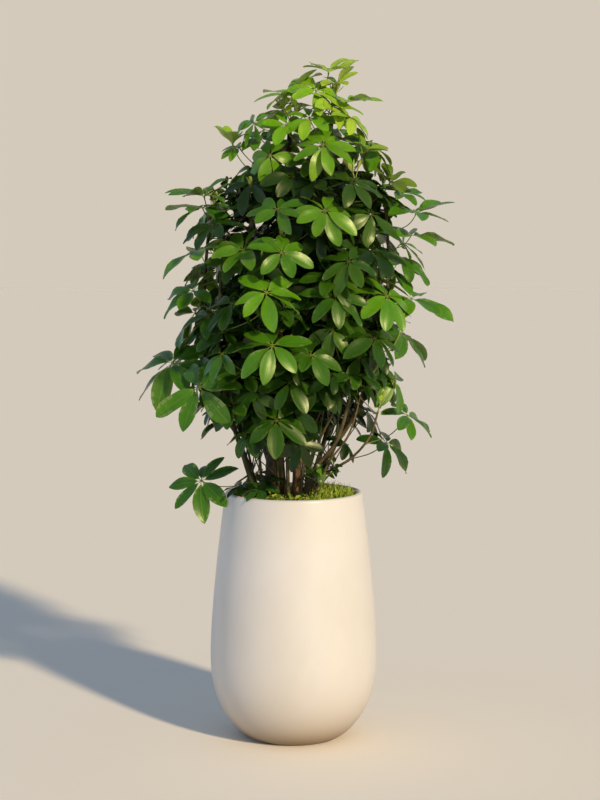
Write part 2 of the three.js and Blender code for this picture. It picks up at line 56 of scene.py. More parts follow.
chance = random.Random(SEED)

# Planter: height and widest radius come from the frame
POT_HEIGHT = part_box("planter_pot")[1].z
BELLY_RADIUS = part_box("planter_pot")[1].x
BELLY_HEIGHT = 213 * MM
RIM_RADIUS = 172 * MM
FOOT_RADIUS = 112 * MM
WALL = 14 * MM
FLOOR = 16 * MM
POT_SIDES = 144
FOOT_ROWS = 22
SIDE_ROWS = 26
LIP_ROWS = 12
INSIDE_ROWS = 30
SIDE_CURVE = 1.5
FOOT_CURVE = 2.4
FOOT_BULGE = 0.75
DRAIN_HOLES = 3
DRAIN_RADIUS = 7 * MM
DRAIN_CIRCLE = 60 * MM

# Filling
SOIL_TOP = POT_HEIGHT - 22 * MM
COVER_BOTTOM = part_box("ground_cover")[0].z
COVER_RADIUS = RIM_RADIUS - WALL - 4 * MM
COVER_THICK = 7 * MM
COVER_TUFT = 8 * MM
COVER_RINGS = 46
COVER_SIDES = 150
COVER_ROUGH = 2.4 * MM
MOSS_TUFTS = 3200
TUFT_HEIGHTS = (4, 10)
TALL_TUFTS_FROM = 40 * MM
TALLER = (1.2, 3.8)
CREEPER_LEAVES = 620
CREEPER_RISES = (3, 14)
CREEPER_SIZES = (2.6, 5.2)
CREEPER_SIDES = 9
CREEPER_NOTCH = 0.72
CREEPER_CUP = 0.16

# Stems stand upright from ROOT_BOTTOM to COLLAR and bend only above it
ROOT_BOTTOM = SOIL_TOP - 70 * MM
COLLAR = POT_HEIGHT + 6 * MM
RING_STEP = 9 * MM
SPANS = 16
STEM_TAPER = 0.8

# Bark: scars, a swelling above the soil and knobs are shares of the radius, and a trunk turns from
# brown to olive as it rises
TRUNK_FROM = 10 * MM
SCAR_STEP = 34 * MM
SCAR = 0.07
SWELLING = 0.22
SWELLING_FADE = 26 * MM
KNOBS_TRUNK = 0.13
KNOBS_STEM = 0.07
TRUNK_SIDES = 20
STEM_SIDES = 10
BROWN_BARK_TO = 0.66
OLIVE_BARK_AFTER = 0.62
STEM_BARK_AGE = 0.75

# Painted shade on wood: darkest inside the crown, and on the left, where the sun never reaches
WOOD_SHADE = 1.25
WOOD_SHADE_RADIUS = 0.17
WOOD_SHADE_FROM = 0.72
WOOD_SHADE_OVER = 0.18
LEFT_SHADE = 0.7
LEFT_SHADE_OVER = 30 * MM

# How the solids' leaves are built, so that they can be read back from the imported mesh
WELD = 0.02 * MM
NOTCH_REACH = 14 * MM
FEWEST_LEAFLETS = 5
EVEN_RIBS = 1.15
LONGEST_LEAFLET = 150 * MM
RIB_AT = 0.5
BEND = 24
HUB_RISE = 1.5 * MM
HUB_DROP = 2 * MM
HUB_RADIUS = 2.4 * MM
UNDER_REACH = 3 * MM
STALK_REACH = 9 * MM
LAST_REACH = 20 * MM

# Leaflets: a short stalk of their own, then a blade that is widest past its middle
PETIOLULE = 0.1
PETIOLULE_RADIUS = 1.0 * MM
BLADE_WIDTH = 0.42
BLADE_THICK = 0.5 * MM
BLADE_TIP = 0.3 * MM
RIB_DEPTH = 0.7 * MM
RIB_SHARE = 0.12
FOLD = 0.32
ARCH = 0.4
SAG = 0.035
MORE_BEND = 4
LEAST_WAVE = 0.004
WAVES = 1.6
SHORTER_UPWARD = 0.07
BASE_TAPER = 0.84
BLADE_ROWS = np.array([0, 0.05, 0.16, 0.3, 0.46, 0.62, 0.76, 0.88, 0.96, 1])
BLADE_ACROSS = np.array([-1, -0.5, 0, 0.5, 1])

# What chance does to a leaflet: pairs are the least and the most, and single numbers are spreads
TIP_TAPER = (0.6, 0.8)
LENGTHS = (0.84, 1.06)
SLIMNESS = (0.92, 1.06)
TURN = 0.085
BEND_SPREAD = 11
LIFT = 8
SWEEP = 0.04
ROLL = 0.26
TWIST = 0.26
WAVE = 0.014

# Age of a leaf: 0 for soft new growth, 1 for the darkest old leaf. On the sunny side the age is lowered as
# painted light, which makes those leaves lighter
OLDEST = 0.92
HEIGHT_FROM = 0.7
HEIGHT_OVER = 0.95
YOUNGER_HIGH = 0.66
SUNNY_PAINTED_LIGHTER = 0.2
SUNNY_LEAN = 0.6
SUNNY_REACH = 0.28
AGE_SPREAD = 0.09
NEWEST_ABOVE = 1.635
NEWEST = 0.04
YOUNG_LIFT = 34
YOUNG_SHARE = 0.35

# Leaflets on a full-grown leaf for those of its solid, and the share of such leaves that get painted shade:
# above this height, within this reach of the middle, and how deep
FULL_COUNT = {5: 7, 6: 8}
PAINTED_SHADE_SHARE = 0.78
PAINTED_SHADE_ABOVE = 840 * MM
PAINTED_SHADE_WITHIN = 205 * MM
PAINTED_SHADE_DEPTHS = (0.66, 1.0)

# Leaves in the shade, between those of the solids
INNER_EVERY = 4
INNER_TRIES = 14
INNER_APART = 46 * MM
INNER_SHARE = 0.78
INNER_LOWEST = 790 * MM
INNER_LOWEST_FRONT = 900 * MM
INNER_REACHES = (0.05, 0.13)
INNER_LENGTHS = (64, 88)
LONG_STALKS_BELOW = 860 * MM
LONG_RISES = (0.1, 0.24)
SHORT_RISES = (0, 0.06)
# Painted shade on leaves: it starts at this share of the canopy's reach, deepens inwards over the next
# share, and fades out near the top
SHADE_STARTS = 0.97
SHADE_DEEPENS = 0.34
SHADE_TOP = 1.52
SHADE_FADES = 0.12
REACH_BAND = 100 * MM
REACH_SIDE = 0.8
GOLDEN_TURN = math.pi * (3 - math.sqrt(5))

# Stalks, and the folded new leaves at a shoot's tip
STALK_RADIUS = 1.5 * MM
STALK_SIDES = 6
STALK_STEP = 9 * MM
KNOB_RADIUS = 2.4 * MM
KNOB_RISE = 1.2 * MM
STALK_SPANS = 7
ROOT_BELOW_HUB = 22 * MM
BUD = dict(lift=66, bend=-10, slim=0.7, fold=0.6, count=5, depth=0.0)
BUD_LENGTHS = (26, 40)
BUD_AGE = 0.02

# Each stem in millimetres: foot on the soil, radius at the foot and at the tip, the points it passes
STEMS = [
    ([-52, 18], 20, 4.5, [[-50, 22, 770], [-42, 30, 960], [-30, 34, 1180], [-18, 22, 1390], [-8, 6, 1550]]),
    ([9, -22], 12.5, 3.5, [
        [16, -26, 770], [34, -28, 1000], [60, -22, 1240], [86, -12, 1450], [98, -4, 1590],
    ]),
    ([-98, -44], 6.5, 3, [[-124, -62, 720], [-162, -96, 850], [-182, -120, 1000], [-176, -124, 1180]]),
    ([34, -54], 5, 2.8, [
        [62, -74, 700], [104, -98, 758], [136, -118, 864], [164, -138, 1020], [168, -132, 1210],
    ]),
    ([-28, -44], 6, 3, [[-32, -96, 756], [-38, -146, 920], [-42, -168, 1080], [-32, -160, 1240]]),
    ([50, -6], 6, 3, [
        [86, -12, 714], [142, -18, 800], [196, -20, 910], [230, -18, 1080], [234, -14, 1260],
        [222, -8, 1370],
    ]),
    ([-94, 30], 7, 3, [
        [-136, 32, 740], [-190, 24, 900], [-222, 12, 1080], [-214, 0, 1250], [-204, -4, 1330],
    ]),
    ([-48, 88], 6.5, 3, [
        [-86, 132, 760], [-122, 170, 940], [-140, 182, 1120], [-112, 154, 1290], [-62, 108, 1420],
    ]),
    ([42, 66], 6.5, 3, [
        [82, 116, 750], [132, 166, 940], [150, 178, 1120], [140, 156, 1300], [112, 104, 1440],
    ]),
    ([4, 108], 6, 3, [[4, 158, 780], [2, 212, 960], [0, 234, 1130], [2, 206, 1310]]),
    ([48, -30], 3.8, 2.4, [[80, -48, 674], [142, -78, 716], [188, -94, 772], [208, -98, 835]]),
]

# Each branch: the stem that it leaves and where along it, radii, and the points that it passes
BRANCHES = [
    (0, 0.42, 7, 3, [[-84, -30, 1120], [-104, -62, 1240], [-104, -70, 1360]]),
    (1, 0.4, 6, 3, [[90, -78, 1150], [132, -104, 1280], [150, -100, 1400]]),
]

# Thin young canes between the stems: the stem that each stands by, then as for the stems
CANES = [
    (3, [24, -42], 4, 2, [[52, -60, 730], [108, -84, 850], [156, -110, 960]]),
    (1, [16, -60], 3.6, 1.8, [[34, -72, 750], [78, -88, 860], [118, -100, 970]]),
    (3, [44, -68], 3.2, 1.6, [[84, -92, 702], [136, -110, 780], [168, -120, 890]]),
    (1, [32, -20], 3.4, 1.8, [[50, -26, 740], [74, -36, 840], [84, -44, 950]]),
    (4, [-36, -58], 3.6, 1.8, [[-54, -70, 760], [-74, -78, 860], [-92, -90, 980]]),
    (4, [-13, -64], 5, 2.2, [[-16, -78, 740], [-20, -104, 880], [-22, -124, 1000]]),
    (0, [-76, -18], 4.2, 2, [[-90, -40, 760], [-106, -58, 880], [-118, -66, 1000]]),
    (1, [30, 22], 4.6, 2.2, [[44, 34, 780], [72, 40, 920], [92, 40, 1080]]),
    (5, [60, 16], 3.4, 1.8, [[102, 36, 724], [156, 58, 840], [188, 66, 990]]),
    (7, [-92, 72], 3.4, 1.8, [[-124, 98, 740], [-160, 118, 860], [-176, 124, 980]]),
    (9, [-22, 74], 4, 2, [[-34, 108, 760], [-52, 144, 880], [-58, 150, 1020]]),
    (9, [34, 96], 3.4, 1.8, [[52, 130, 740], [66, 170, 860], [64, 184, 960]]),
]

# Small leaves that stand by themselves: hub in millimetres, azimuth, elevation, leaflet length,
# leaflets, lift and age. The last one ends a young shoot
LONE_LEAVES = [
    ([-128, -72, 648], 320, 78, 50, 7, 4, 0.85), ([-84, -104, 642], 350, 74, 52, 7, 4, 0.95),
    ([-60, -84, 662], 340, 60, 46, 6, -4, 1.0), ([-96, 66, 660], 230, 62, 60, 7, -4, 0.9),
    ([67, -100, 648], 10, 80, 58, 4, 64, 0.5), ([48, -108, 690], 20, 30, 34, 4, 30, 0.3),
    ([98, -84, 700], 50, 40, 30, 4, 20, 0.2), ([88, -20, 690], 64, 50, 34, 5, 0, 0.5),
    ([60, 112, 668], 160, 56, 50, 6, 0, 0.8), ([-8, -44, 1588], 350, 24, 34, 5, 44, 0.0),
    ([256, -150, 1060], 40, 40, 27, 5, 40, 0.05),
]
YOUNG_SHOOT = [[192, -120, 930], [232, -140, 984], [256, -150, 1026], [256, -150, 1058]]

# Leaf colours: stops of a ramp from new to old, the drawn lines, and the colour of the deepest painted
# shade
LEAF_TOP = [
    (0.0, (0.38, 0.56, 0.035)), (0.3, (0.15, 0.37, 0.007)), (0.6, (0.066, 0.215, 0.006)),
    (1.0, (0.018, 0.083, 0.009)),
]
LEAF_UNDER = [(0.0, (0.33, 0.42, 0.10)), (0.5, (0.16, 0.27, 0.07)), (1.0, (0.09, 0.17, 0.06))]
PALE = (0.19, 0.29, 0.035, 1)
DEEP_SHADE = (0.003, 0.013, 0.001, 1)

# Lines on a leaflet: between which shares of its width or length each fades, and how pale it is
RIB_FADE = (0.07, 0.015)
RIB_PALE = 0.42
VEINS = 11.0
VEIN_SLANT = 1.9
VEIN_FADE = (0.16, 0.0)
VEIN_PALE = 0.13
EDGE_FADE = (0.93, 1.0)
EDGE_PALE = 0.3
BASE_FADE = (0.2, 0.1)

# Dust with a painted reflection of a brown ground, and dirt with painted shade at the very foot, thin out
# upwards on the planter over these heights
DUST_AND_REFLECTION_HEIGHT = 75 * MM
DUST_AND_GROUND_REFLECTION = (0.28, 0.17, 0.06, 1)
DIRT_AND_SHADE_HEIGHT = 24 * MM
DIRT_AND_FOOT_SHADE = (0.06, 0.03, 0.01, 1)

# Camera and its picture: eye, tilt below the horizon, and focal length in pixels of the tall side
EYE = Vector((0.016, -4.6, 1.264))
EYE_TILT = 5.09
FOCAL_PIXELS = 1840
PICTURE_HEIGHT = 800
SENSOR = 36

# Sun: to the right of the eye and above the horizon, in degrees, as the planter's shadow shows
SUN_AZIMUTH = 36
SUN_HEIGHT = 27
SUN_SOFTNESS = 4
SUN_POWER = 3.15
SUN_COLOUR = (1.0, 0.825, 0.56)

# Room: the sky's band round the horizon, its colour on the left, the dome above, and the floor
BAND = (0.66, 0.59, 0.495)
COOL_BAND = (0.52, 0.76, 1.10)
COOL_FROM = (-0.2, -0.75)
DOME = (0.18, 0.24, 0.33)
DOME_FROM = (0.2, 0.42)
FLOOR_COLOUR = (1.0, 0.92, 0.815, 1)
FLOOR_REACH = 40


def clamp(value):
    return min(1, max(0, value))


def in_metres(points):
    return [Vector(point) * MM for point in points]


def toward(azimuth, elevation):
    """The direction at these angles in degrees, with 0, 0 to the front and azimuth to the right."""
    turn, rise = math.radians(azimuth), math.radians(elevation)
    flat = math.cos(rise)
    return Vector((math.sin(turn) * flat, -math.cos(turn) * flat, math.sin(rise)))


def put(name, data):
    """A new object with this data, in the scene."""
    made = bpy.data.objects.new(name, data)
    bpy.context.scene.collection.objects.link(made)
    return made


# Mesh data that grows part by part

class Shape:
    """Points with a map place, an age and a depth in the shade each, and faces with a material each."""

    def __init__(self):
        self.points, self.maps, self.ages, self.depths = [], [], [], []
        self.faces, self.parts = [], []
        self.count = 0

    def add(self, points, faces, parts=0, maps=None, age=0.0, depth=0.0):
        size = len(points)
        self.points.append(np.asarray(points, float).reshape(size, 3))
        self.maps.append(np.zeros((size, 2)) if maps is None else maps)
        self.ages.append(np.broadcast_to(age, size))
        self.depths.append(np.broadcast_to(depth, size))
        self.faces.extend([[self.count + i for i in face] for face in faces])
        self.parts.extend([parts] * len(faces) if isinstance(parts, int) else parts)
        self.count += size


def make_piece(name, shape, materials, slot, *nodes):
    """A piece of the visual model that rides on the body and stands for the named CAD nodes."""
    mesh = bpy.data.meshes.new(name)
    mesh.from_pydata(np.concatenate(shape.points).tolist(), [], shape.faces)
    corners = np.empty(len(mesh.loops), int)
    mesh.loops.foreach_get("vertex_index", corners)
    layer = mesh.uv_layers.new(name="leaflet")
    layer.data.foreach_set("uv", np.concatenate(shape.maps)[corners].ravel())
    for label, values in (("age", shape.ages), ("depth", shape.depths)):
        layer = mesh.attributes.new(label, "FLOAT", "POINT")
        layer.data.foreach_set("value", np.concatenate(values))
    mesh.polygons.foreach_set("material_index", shape.parts)
    mesh.polygons.foreach_set("use_smooth", [True] * len(mesh.polygons))
    mesh.set_sharp_from_angle(angle=math.radians(SHARP_ANGLE))
    for material in materials:
        mesh.materials.append(material)
    piece = put(name, mesh)
    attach(piece, BODY)
    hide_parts(*nodes)
    return piece


def smooth_line(points, spans):
    """A centripetal Catmull-Rom line through the points, with its ends mirrored."""
    ends = [2 * points[0] - points[1], *points, 2 * points[-1] - points[-2]]
    line = []
    for i in range(1, len(ends) - 2):
        near = ends[i - 1:i + 3]
        knots = [0.0]
        for a, b in zip(near, near[1:]):
            knots.append(knots[-1] + max((b - a).length, 1e-6) ** 0.5)
        for k in range(spans):
            line.append(between(near, knots, knots[1] + (knots[2] - knots[1]) * k / spans))
    return [*line, points[-1]]


def between(near, knots, t):
    """The line's point at t between the middle two of four points, by blending neighbours thrice."""
    level = list(near)
    for width in (1, 2, 3):
        blends = []
        for j, (a, b) in enumerate(zip(level, level[1:])):
            low, high = (knots[1], knots[2]) if width == 3 else (knots[j], knots[j + width])
            blends.append(a.lerp(b, (t - low) / (high - low)))
        level = blends
    return level[0]


def evenly(line, step):
    """The line's points again, at even distances of about one step, with the share of its length."""
    reach = [0.0]
    for a, b in zip(line, line[1:]):
        reach.append(reach[-1] + (b - a).length)
    count = max(2, round(reach[-1] / step))
    spots = np.linspace(0, reach[-1], count + 1)
    places = np.column_stack([np.interp(spots, reach, axis) for axis in np.array(line).T])
    return [Vector(p) for p in places], spots / reach[-1]


def tube_faces(rings, sides):
    """Faces between rings of points, with a cap on the first and the last."""
    faces = []
    for i in range(rings - 1):
        for j in range(sides):
            a, b = i * sides + j, i * sides + (j + 1) % sides
            faces.append([a, b, b + sides, a + sides])
    last = (rings - 1) * sides
    faces.append(list(range(sides))[::-1])
    faces.append(list(range(last, last + sides)))
    return faces


def add_tube(shape, line, radii, sides, part, age=0.0, depth=0.0):
    """A closed tube along a line of points, with a radius, an age and a depth at each."""
    rings = []
    starts_along_x = abs((line[1] - line[0]).normalized().x) >= 0.9
    side = Vector((0, 1, 0)) if starts_along_x else Vector((1, 0.01, 0))
    turns = 2 * np.pi * np.arange(sides) / sides
    for i, at in enumerate(line):
        along = (line[min(i + 1, len(line) - 1)] - line[max(i - 1, 0)]).normalized()
        side = (side - along * side.dot(along)).normalized()
        other = along.cross(side)
        ring = np.outer(np.cos(turns), side) + np.outer(np.sin(turns), other)
        radius = radii[i] if np.ndim(radii[i]) == 0 else np.asarray(radii[i])[:, None]
        rings.append(np.array(at) + radius * ring)
    ages = np.repeat(np.broadcast_to(age, len(rings)), sides)
    depths = np.repeat(np.broadcast_to(depth, len(rings)), sides)
    shape.add(np.concatenate(rings), tube_faces(len(rings), sides), part, None, ages, depths)


# Stems

def stem_lines():
    """Every shoot as a smooth line with its radii in metres, the branches after the stems."""
    shoots = []
    for node, (foot, thick, thin, way) in enumerate(STEMS):
        points = in_metres([(*foot, COLLAR / MM), *way])
        shoots.append(make_shoot(node, points, thick * MM, thin * MM, rooted=True))
    for node, share, thick, thin, way in BRANCHES:
        stem = shoots[node].line
        points = [stem[round(share * (len(stem) - 1))], *in_metres(way)]
        shoots.append(make_shoot(node, points, thick * MM, thin * MM))
    return shoots


def cane_lines():
    return [
        make_shoot(node, in_metres([(*foot, SOIL_TOP / MM), *way]), thick * MM, thin * MM)
        for node, foot, thick, thin, way in CANES
    ]


def make_shoot(node, points, thick, thin, rooted=False):
    line, shares = evenly(smooth_line(points, SPANS), RING_STEP)
    radii = thin + (thick - thin) * (1 - shares) ** STEM_TAPER
    return SimpleNamespace(node=node, line=line, radii=radii, thick=thick, rooted=rooted)


def nearest_on(shoots, point):
    """The nearest point on the shoots' middle lines, after its distance and before the radius there."""
    found = []
    for shoot in shoots:
        for at, radius in zip(shoot.line, shoot.radii):
            found.append(((at - point).length, at, radius))
    return min(found, key=lambda item: item[0])


def add_stem(shape, shoot):
    """Bark of one shoot: a swollen collar, rings of old leaf scars and a slightly uneven round."""
    line, radii = list(shoot.line), list(shoot.radii)
    if shoot.rooted:
        foot = line[0]
        heights = [ROOT_BOTTOM, SOIL_TOP, SOIL_TOP + RING_STEP]
        line = [Vector((foot.x, foot.y, z)) for z in heights] + line
        radii = [shoot.thick] * len(heights) + radii
    trunk = shoot.thick > TRUNK_FROM
    sides = TRUNK_SIDES if trunk else STEM_SIDES
    knobs = KNOBS_TRUNK if trunk else KNOBS_STEM
    turns = 2 * np.pi * np.arange(sides) / sides
    rings, ages = [], []
    length = 0.0
    for i, (at, radius) in enumerate(zip(line, radii)):
        length += (at - line[i - 1]).length if i else 0.0
        scar = SCAR * math.exp(-((length / SCAR_STEP + 0.3 * shoot.node) % 1 - 0.5) ** 2 / 0.008)
        above = at.z - SOIL_TOP
        collar = SWELLING * math.exp(-above / SWELLING_FADE) if above > 0 else 0
        rough = [
            noise.noise(Vector((math.cos(t) * 1.6, math.sin(t) * 1.6, at.z * 26 + 7 * shoot.node)))
            for t in turns
        ]
        rings.append(radius * (1 + scar + collar + knobs * np.array(rough)))
        ages.append(clamp((at.z - BROWN_BARK_TO) / OLIVE_BARK_AFTER) if trunk else STEM_BARK_AGE)
    # Bark gets painted shade inside the crown and on the left
    add_tube(shape, line, rings, sides, 0, ages, [wood_depth(at) for at in line])


def wood_depth(at):
    """Painted shade on a stem, by how deep in the canopy's shade a place is: 0 in the open, 1 in the
    middle, and some on the left.
    """
    inside = clamp(WOOD_SHADE - math.hypot(at.x, at.y) / WOOD_SHADE_RADIUS)
    inside *= clamp((at.z - WOOD_SHADE_FROM) / WOOD_SHADE_OVER)
    return max(inside, LEFT_SHADE * clamp(-at.x / LEFT_SHADE_OVER))


# Leaves, read back from the solids

def welded(node):
    """The node's mesh with the corners that share a place joined."""
    mesh = bmesh.new()
    mesh.from_mesh(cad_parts[node].data)
    bmesh.ops.remove_doubles(mesh, verts=mesh.verts, dist=WELD)
    mesh.normal_update()
    return mesh


def around(corner):
    return [edge.other_vert(corner) for edge in corner.link_edges]


def find_leaves(node, shoots):
    """Every compound leaf of a node: round a hub's top, notches and ribs come in turn."""
    mesh = welded(node)
    leaves = []
    for top in mesh.verts:
        ring = around(top)
        notches = [c for c in ring if (c.co - top.co).length < NOTCH_REACH]
        ribs = [c for c in ring if c not in notches]
        if len(notches) < FEWEST_LEAFLETS or len(ribs) != len(notches):
            continue
        reaches = [(rib.co - top.co).length for rib in ribs]
        if max(reaches) < min(EVEN_RIBS * min(reaches), LONGEST_LEAFLET * RIB_AT):
            leaves.append(read_leaf(top, notches, ribs, shoots))
    mesh.free()
    return leaves


def read_leaf(top, notches, ribs, shoots):
    """A leaf's hub, facing, size, turn and stalk, from its hub's top and the corners round it."""
    face = Vector()
    for piece in top.link_faces:
        face += piece.normal * piece.calc_area()
    face.normalize()
    hub = top.co - HUB_RISE * face
    leaf = make_leaf(hub, face)
    arms = [rib.co - hub for rib in ribs]
    leaf.length = sum(arm.length for arm in arms) / len(arms) / RIB_AT
    flat = [(arm.dot(leaf.beside), arm.dot(leaf.across)) for arm in arms]
    rises = [math.atan2(arm.dot(face), math.hypot(*way)) for arm, way in zip(arms, flat)]
    leaf.spin = min(math.atan2(*way) for way in flat)
    leaf.lift = math.degrees(sum(rises) / len(rises)) + BEND * RIB_AT / 2
    leaf.count = len(ribs)
    leaf.stalk = read_stalk(leaf, top, notches, ribs, shoots)
    return leaf


def make_leaf(hub, face):
    across = UP.cross(face).normalized()
    beside = face.cross(across)
    return SimpleNamespace(hub=hub, face=face, across=across, beside=beside, age=None, shade=0.0)


def read_stalk(leaf, top, notches, ribs, shoots):
    """Points of the stalk from the shoot up to the hub, found by going down ring by ring."""
    start = leaf.hub - HUB_DROP * leaf.face
    seen = {top, *notches, *ribs}
    level = next_level(notches, seen, lambda c: (c.co - start).length < 1.5 * HUB_RADIUS)
    path = [start]
    for _ in range(2):
        level = next_level(level, seen, lambda c: min((c.co - r.co).length for r in ribs) > UNDER_REACH)
        if not level:
            break
        middle = sum((c.co for c in level), Vector()) / len(level)
        path.append(middle)
        gap, _, radius = nearest_on(shoots, middle)
        if gap < radius + STALK_REACH:
            break
    _, root, _ = nearest_on(shoots, path[-1])
    if len(path) > 1 and (path[-1] - root).length < STALK_REACH + LAST_REACH:
        path[-1] = root
    else:
        path.append(root)
    return path[::-1]


def next_level(level, seen, belongs):
    """The corners next to this level that belong to the next, which are then seen as well."""
    found = dict.fromkeys(c for corner in level for c in around(corner) if c not in seen)
    found = [c for c in found if belongs(c)]
    seen.update(found)
    return found


# Leaves of the visual model

def blade_faces():
    """Faces of a blade whose upper and lower sheets share their rims, and which are underneath."""
    rows, columns = len(BLADE_ROWS) + 1, len(BLADE_ACROSS)
    inner = columns - 2

    def upper(row, column):
        return row * columns + column

    def lower(row, column):
        if column in (0, columns - 1):
            return upper(row, column)
        return rows * columns + row * inner + column - 1

    faces, parts = [], []
    for row in range(rows - 1):
        for column in range(columns - 1):
            square = [(row, column), (row, column + 1), (row + 1, column + 1), (row + 1, column)]
            faces.append([upper(*corner) for corner in square])
            faces.append([lower(*corner) for corner in reversed(square)])
            parts += [0, 1]
    for row, order in ((0, -1), (rows - 1, 1)):
        edge = [upper(row, c) for c in range(columns)]
        back = [lower(row, c) for c in range(columns - 2, 0, -1)]
        faces.append([*edge, *back][::order])
        parts.append(0)
    return faces, parts


BLADE_FACES, BLADE_PARTS = blade_faces()


def blade_half_widths(length, slim, taper):
    """Half widths of the rows: the leaflet's own stalk first, then a blade with a wedge-shaped base."""
    shape = BLADE_ROWS ** BASE_TAPER * (1 - BLADE_ROWS) ** taper
    half = length * BLADE_WIDTH * slim / 2 * shape / shape.max()
    half = np.maximum(half, PETIOLULE_RADIUS)
    half[-1] = BLADE_TIP
    return np.concatenate([[PETIOLULE_RADIUS], half])


def unit_rows(rows):
    return rows / np.linalg.norm(rows, axis=1)[:, None]


def add_leaflet(shape, leaf, out, length, young):
    """One leaflet: it follows the solid's rib, with its own bend, sweep, twist and wavy rim."""
    bend = leaf.bend + chance.gauss(MORE_BEND, BEND_SPREAD)
    lift = leaf.lift + chance.gauss(0, LIFT)
    sweep = chance.gauss(0, SWEEP)
    roll = chance.gauss(0, ROLL)
    twist = chance.gauss(0, TWIST)
    wave = abs(chance.gauss(0, WAVE)) + LEAST_WAVE
    phase = chance.random()
    half = blade_half_widths(length, leaf.slim * chance.uniform(*SLIMNESS), leaf.taper)
    s = np.concatenate([[0.02], PETIOLULE + (1 - PETIOLULE) * BLADE_ROWS])
    rib, side, above = leaflet_rib(leaf, out, length, s, bend, lift, sweep)
    angle = (roll * np.minimum(1, s / (2 * PETIOLULE)) + twist * s)[:, None]
    side, above = (
        side * np.cos(angle) + above * np.sin(angle),
        above * np.cos(angle) - side * np.sin(angle),
    )
    s, wide, x = s[:, None], half[:, None], BLADE_ACROSS[None, :]
    rise = leaf.fold * wide * (np.abs(x) - ARCH * x ** 2)
    waves = np.sin(2 * np.pi * (WAVES * s + phase + 0.2 * np.sign(x)))
    rise = rise + wave * length * np.abs(x) ** 1.5 * waves
    rise[0] = rise[1] = 0
    sheet = rib[:, None, :] + side[:, None, :] * (wide * x)[..., None]
    thick = BLADE_THICK / 2 * (np.abs(x) < 1) * np.ones_like(wide)
    depth = thick + RIB_DEPTH * np.exp(-(x / RIB_SHARE) ** 2) * (1 - s) ** 0.7
    upper = sheet + above[:, None, :] * (rise + thick)[..., None]
    lower = sheet + above[:, None, :] * (rise - depth)[..., None]
    place = np.stack(np.broadcast_arrays(x * 0.5 + 0.5, s), axis=-1)
    points, maps = rows_of(upper, lower), rows_of(place, place)
    age = clamp(young + chance.gauss(0, 0.05))
    shape.add(points, BLADE_FACES, BLADE_PARTS, maps, age, leaf.depth)


def leaflet_rib(leaf, out, length, s, bend, lift, sweep):
    """Points along the leaflet's rib, and the directions beside and above the rib at each."""
    out, face = np.array(out), np.array(leaf.face)
    sideways = np.cross(face, out)
    slope = np.radians(lift - bend * s / 2)
    rib = np.array(leaf.hub) + np.outer(length * s * np.cos(slope), out)
    rib += np.outer(length * s * np.sin(slope), face) + np.outer(sweep * length * s ** 2, sideways)
    rib[:, 2] -= SAG * length * s ** 2
    along = unit_rows(np.gradient(rib, axis=0))
    side = unit_rows(sideways - along * (along @ sideways)[:, None])
    return rib, side, np.cross(along, side)


def rows_of(upper, lower):
    """Both sheets' points in one list: the lower one without its rims, which the sheets share."""
    size = upper.shape[-1]
    return np.concatenate([upper.reshape(-1, size), lower[:, 1:-1].reshape(-1, size)])


def add_leaf(shape, leaf, age):
    leaf.taper = chance.uniform(*TIP_TAPER)
    for i in range(leaf.count):
        turn = leaf.spin + 2 * math.pi * i / leaf.count + chance.gauss(0, TURN)
        out = leaf.across * math.cos(turn) + leaf.beside * math.sin(turn)
        length = leaf.length * (1 - SHORTER_UPWARD * out.z) * chance.uniform(*LENGTHS)
        add_leaflet(shape, leaf, out, length, age)


def add_stalk(shape, leaf, age):
    """The stalk: a sheath where it leaves the shoot, slim above, and a knob that bears the leaflets."""
    path = smooth_line([*leaf.stalk, leaf.hub + leaf.face * KNOB_RISE], STALK_SPANS)
    line, shares = evenly(path, STALK_STEP)
    radii = STALK_RADIUS * (0.86 + 0.9 * np.exp(-shares / 0.06) + 0.8 * np.exp(-(1 - shares) / 0.04))
    radii[-1] = KNOB_RADIUS
    # Stalks get painted shade a little deeper than their leaf
    add_tube(shape, line, radii, STALK_SIDES, 2, age, min(1, leaf.depth + 0.25))


def leaf_age(leaf):
    """Leaves are younger towards the top; on the sunny side a lower age is painted light that makes them
    lighter.
    """
    height = (leaf.hub.z - HEIGHT_FROM) / HEIGHT_OVER
    sunny = max(0, leaf.hub.x * SUNNY_LEAN - leaf.hub.y) / SUNNY_REACH
    # The lower age on the sunny side is painted light
    age = OLDEST - YOUNGER_HIGH * height ** 2 - SUNNY_PAINTED_LIGHTER * sunny + chance.gauss(0, AGE_SPREAD)
    if leaf.hub.z > NEWEST_ABOVE:
        age = NEWEST
    if leaf.lift > YOUNG_LIFT:
        age *= YOUNG_SHARE
    return clamp(age)


def ripen(leaf):
    """The leaf's age. A full-grown leaf gets more leaflets, and some in the middle get painted shade."""
    age = leaf_age(leaf)
    if leaf.count in FULL_COUNT and leaf.lift < YOUNG_LIFT:
        leaf.count = FULL_COUNT[leaf.count]
        in_the_middle = leaf.hub.z > PAINTED_SHADE_ABOVE and abs(leaf.hub.x) < PAINTED_SHADE_WITHIN
        # Painted shade on a share of the full-grown leaves in the middle
        if chance.random() < PAINTED_SHADE_SHARE and in_the_middle:
            leaf.shade = chance.uniform(*PAINTED_SHADE_DEPTHS)
    return age


